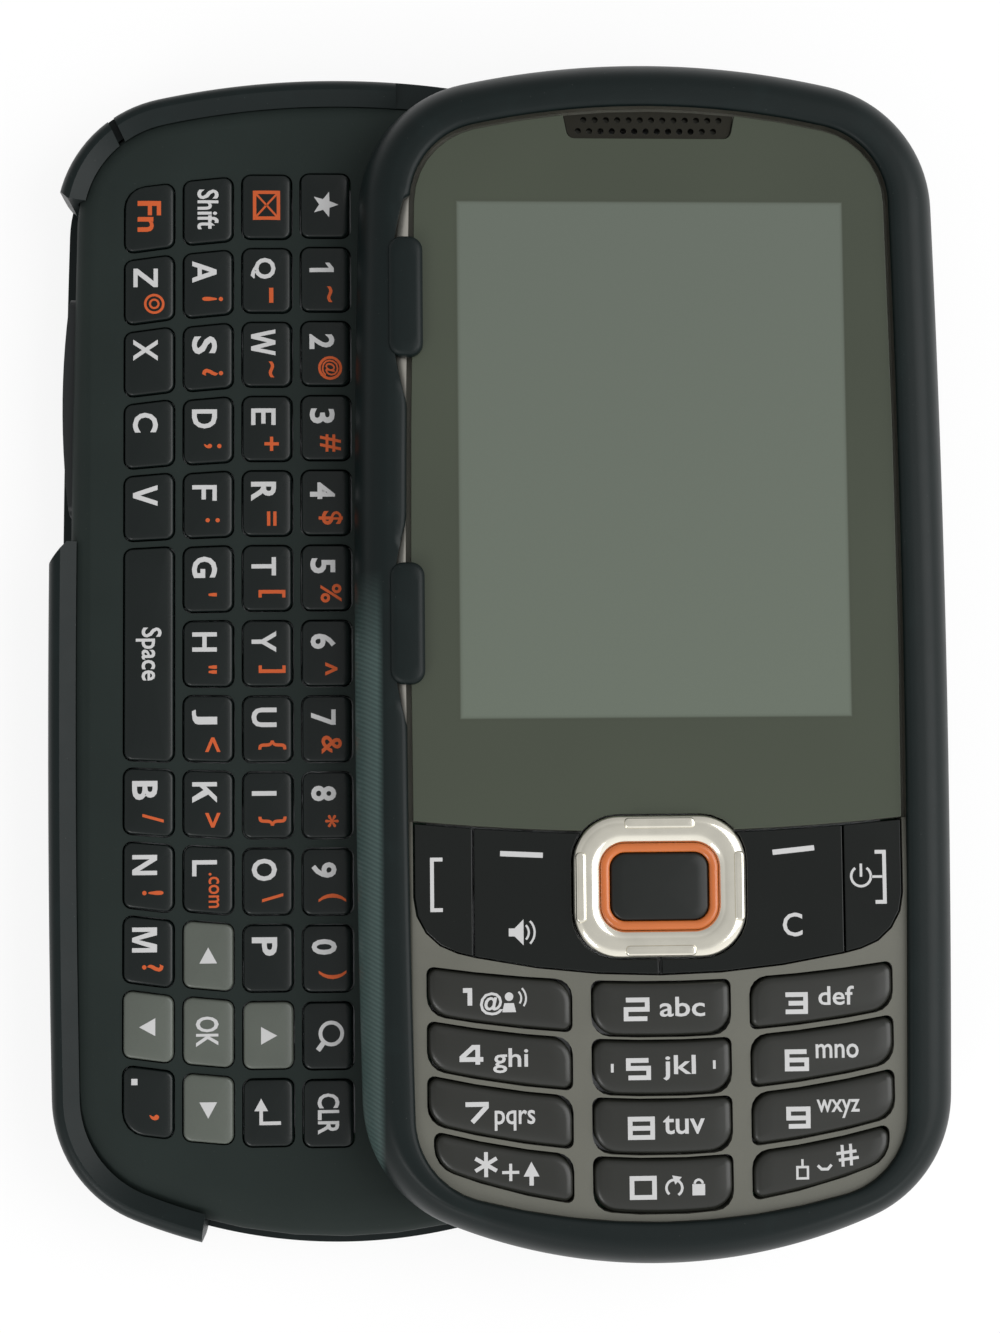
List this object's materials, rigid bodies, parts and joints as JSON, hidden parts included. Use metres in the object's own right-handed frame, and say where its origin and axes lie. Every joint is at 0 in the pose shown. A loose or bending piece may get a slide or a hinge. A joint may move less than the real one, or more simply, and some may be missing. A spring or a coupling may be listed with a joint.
{
  "type": "slider phone",
  "caption": "Side-sliding messaging phone in a clip-on two-piece case: display, navigation ring and number pad on the slider, a sideways thumb keyboard on the base.",
  "frame": {"origin": "middle of the flat back face of the rear case, which the phone lies on", "axes": "+Z out of the screen, +Y towards the earpiece end, +X the way the slider opens over the base's right side"},
  "size_m": [0.0876, 0.1162, 0.0176],
  "materials": {
    "case_shell": "smooth, faint orange peel",
    "housing_plastic": "fine moulded texture",
    "cover_plastic": "fine moulded texture",
    "battery_wrap": "satin",
    "contact_metal": "plated, bright",
    "circuit_board": "solder resist",
    "dome_steel": "satin",
    "camera_body": "matte",
    "camera_glass": "polished",
    "speaker_steel": "satin",
    "motor_steel": "satin",
    "connector_steel": "satin",
    "jack_plastic": "matte",
    "antenna_plastic": "matte",
    "slide_steel": "stamped, satin",
    "stud_plastic": "self-lubricating",
    "screw_steel": "satin",
    "side_key_plastic": "satin",
    "letter_key_plastic": "glossy crown",
    "cursor_key_plastic": "satin",
    "spring_steel": "bright wire",
    "flex_film": "polyimide film",
    "keypad_face": "metallic taupe paint",
    "trim_metal": "bright satin",
    "lens_plastic": "polished",
    "display_panel": "unlit",
    "grille_metal": "satin",
    "number_key_plastic": "polished, metallic",
    "function_key_plastic": "polished",
    "nav_chrome": "bright plating",
    "accent_plastic": "anodised look",
    "select_key_plastic": "polished"
  },
  "bodies": {
    "base": {"back_case": "case_shell", "rear_housing": "housing_plastic", "battery_cover": "cover_plastic", "battery": "battery_wrap", "battery_contacts": "contact_metal", "keyboard_housing": "housing_plastic", "main_pcb": "circuit_board", "keyboard_dome_sheet": "dome_steel", "camera_module": "camera_body", "camera_window": "camera_glass", "loudspeaker": "speaker_steel", "vibration_motor": "motor_steel", "usb_port": "connector_steel", "headset_jack": "jack_plastic", "antenna": "antenna_plastic", "microphone": "contact_metal", "base_slide_plate": "slide_steel", "guide_studs": "stud_plastic", "base_screws": "screw_steel", "slide_spring": "spring_steel", "flex_cable": "flex_film"},
    "slider": {"front_case": "case_shell", "front_housing": "keypad_face", "side_trim": "trim_metal", "display_window": "lens_plastic", "lcd_module": "display_panel", "slider_rear_housing": "housing_plastic", "slider_plate": "slide_steel", "keypad_pcb": "circuit_board", "keypad_dome_sheet": "dome_steel", "earpiece_speaker": "speaker_steel", "earpiece_grille": "grille_metal", "slider_screws": "screw_steel"},
    "volume_key": {"volume_key": "side_key_plastic"},
    "camera_key": {"camera_key": "side_key_plastic"},
    "number_row_keys": {"number_row_keys": "letter_key_plastic"},
    "top_letter_keys": {"top_letter_keys": "letter_key_plastic"},
    "home_letter_keys": {"home_letter_keys": "letter_key_plastic"},
    "bottom_letter_keys": {"bottom_letter_keys": "letter_key_plastic"},
    "space_key": {"space_key": "letter_key_plastic"},
    "cursor_keys": {"cursor_keys": "cursor_key_plastic"},
    "key_1": {"key_1": "number_key_plastic"},
    "key_2": {"key_2": "number_key_plastic"},
    "key_3": {"key_3": "number_key_plastic"},
    "key_4": {"key_4": "number_key_plastic"},
    "key_5": {"key_5": "number_key_plastic"},
    "key_6": {"key_6": "number_key_plastic"},
    "key_7": {"key_7": "number_key_plastic"},
    "key_8": {"key_8": "number_key_plastic"},
    "key_9": {"key_9": "number_key_plastic"},
    "key_star": {"key_star": "number_key_plastic"},
    "key_0": {"key_0": "number_key_plastic"},
    "key_hash": {"key_hash": "number_key_plastic"},
    "talk_key": {"talk_key": "function_key_plastic"},
    "left_function_key": {"left_function_key": "function_key_plastic"},
    "right_function_key": {"right_function_key": "function_key_plastic"},
    "end_key": {"end_key": "function_key_plastic"},
    "nav_select_key": {"nav_select_key": "select_key_plastic"},
    "nav_key": {"nav_ring": "nav_chrome", "nav_accent": "accent_plastic"}
  },
  "joints": [
    {"name": "keyboard_slide", "type": "slide", "parent": "base", "child": "slider", "axis": [1, 0, 0], "range_m": [-0.03, 0], "deforming": ["slide_spring", "flex_cable"]},
    {"name": "volume_key_press", "type": "slide", "parent": "base", "child": "volume_key", "axis": [1, 0, 0], "range_m": [0, 0.0003], "stiffness_N_per_m": 60, "springref_m": -0.001},
    {"name": "camera_key_press", "type": "slide", "parent": "base", "child": "camera_key", "axis": [-1, 0, 0], "range_m": [0, 0.0003], "stiffness_N_per_m": 60, "springref_m": -0.001},
    {"name": "number_row_keys_press", "type": "slide", "parent": "base", "child": "number_row_keys", "axis": [0, 0, -1], "range_m": [0, 0.0003], "stiffness_N_per_m": 60, "springref_m": -0.001},
    {"name": "top_letter_keys_press", "type": "slide", "parent": "base", "child": "top_letter_keys", "axis": [0, 0, -1], "range_m": [0, 0.0003], "stiffness_N_per_m": 60, "springref_m": -0.001},
    {"name": "home_letter_keys_press", "type": "slide", "parent": "base", "child": "home_letter_keys", "axis": [0, 0, -1], "range_m": [0, 0.0003], "stiffness_N_per_m": 60, "springref_m": -0.001},
    {"name": "bottom_letter_keys_press", "type": "slide", "parent": "base", "child": "bottom_letter_keys", "axis": [0, 0, -1], "range_m": [0, 0.0003], "stiffness_N_per_m": 60, "springref_m": -0.001},
    {"name": "space_key_press", "type": "slide", "parent": "base", "child": "space_key", "axis": [0, 0, -1], "range_m": [0, 0.0003], "stiffness_N_per_m": 60, "springref_m": -0.001},
    {"name": "cursor_keys_press", "type": "slide", "parent": "base", "child": "cursor_keys", "axis": [0, 0, -1], "range_m": [0, 0.0003], "stiffness_N_per_m": 60, "springref_m": -0.001},
    {"name": "key_1_press", "type": "slide", "parent": "slider", "child": "key_1", "axis": [0, 0, -1], "range_m": [0, 0.0003], "stiffness_N_per_m": 60, "springref_m": -0.001},
    {"name": "key_2_press", "type": "slide", "parent": "slider", "child": "key_2", "axis": [0, 0, -1], "range_m": [0, 0.0003], "stiffness_N_per_m": 60, "springref_m": -0.001},
    {"name": "key_3_press", "type": "slide", "parent": "slider", "child": "key_3", "axis": [0, 0, -1], "range_m": [0, 0.0003], "stiffness_N_per_m": 60, "springref_m": -0.001},
    {"name": "key_4_press", "type": "slide", "parent": "slider", "child": "key_4", "axis": [0, 0, -1], "range_m": [0, 0.0003], "stiffness_N_per_m": 60, "springref_m": -0.001},
    {"name": "key_5_press", "type": "slide", "parent": "slider", "child": "key_5", "axis": [0, 0, -1], "range_m": [0, 0.0003], "stiffness_N_per_m": 60, "springref_m": -0.001},
    {"name": "key_6_press", "type": "slide", "parent": "slider", "child": "key_6", "axis": [0, 0, -1], "range_m": [0, 0.0003], "stiffness_N_per_m": 60, "springref_m": -0.001},
    {"name": "key_7_press", "type": "slide", "parent": "slider", "child": "key_7", "axis": [0, 0, -1], "range_m": [0, 0.0003], "stiffness_N_per_m": 60, "springref_m": -0.001},
    {"name": "key_8_press", "type": "slide", "parent": "slider", "child": "key_8", "axis": [0, 0, -1], "range_m": [0, 0.0003], "stiffness_N_per_m": 60, "springref_m": -0.001},
    {"name": "key_9_press", "type": "slide", "parent": "slider", "child": "key_9", "axis": [0, 0, -1], "range_m": [0, 0.0003], "stiffness_N_per_m": 60, "springref_m": -0.001},
    {"name": "key_star_press", "type": "slide", "parent": "slider", "child": "key_star", "axis": [0, 0, -1], "range_m": [0, 0.0003], "stiffness_N_per_m": 60, "springref_m": -0.001},
    {"name": "key_0_press", "type": "slide", "parent": "slider", "child": "key_0", "axis": [0, 0, -1], "range_m": [0, 0.0003], "stiffness_N_per_m": 60, "springref_m": -0.001},
    {"name": "key_hash_press", "type": "slide", "parent": "slider", "child": "key_hash", "axis": [0, 0, -1], "range_m": [0, 0.0003], "stiffness_N_per_m": 60, "springref_m": -0.001},
    {"name": "talk_key_press", "type": "slide", "parent": "slider", "child": "talk_key", "axis": [0, 0, -1], "range_m": [0, 0.0003], "stiffness_N_per_m": 60, "springref_m": -0.001},
    {"name": "left_function_key_press", "type": "slide", "parent": "slider", "child": "left_function_key", "axis": [0, 0, -1], "range_m": [0, 0.0003], "stiffness_N_per_m": 60, "springref_m": -0.001},
    {"name": "right_function_key_press", "type": "slide", "parent": "slider", "child": "right_function_key", "axis": [0, 0, -1], "range_m": [0, 0.0003], "stiffness_N_per_m": 60, "springref_m": -0.001},
    {"name": "end_key_press", "type": "slide", "parent": "slider", "child": "end_key", "axis": [0, 0, -1], "range_m": [0, 0.0003], "stiffness_N_per_m": 60, "springref_m": -0.001},
    {"name": "nav_select_key_press", "type": "slide", "parent": "slider", "child": "nav_select_key", "axis": [0, 0, -1], "range_m": [0, 0.0003], "stiffness_N_per_m": 60, "springref_m": -0.001},
    {"name": "nav_key_press", "type": "slide", "parent": "slider", "child": "nav_key", "axis": [0, 0, -1], "range_m": [0, 0.0003], "stiffness_N_per_m": 60, "springref_m": -0.001}
  ]
}
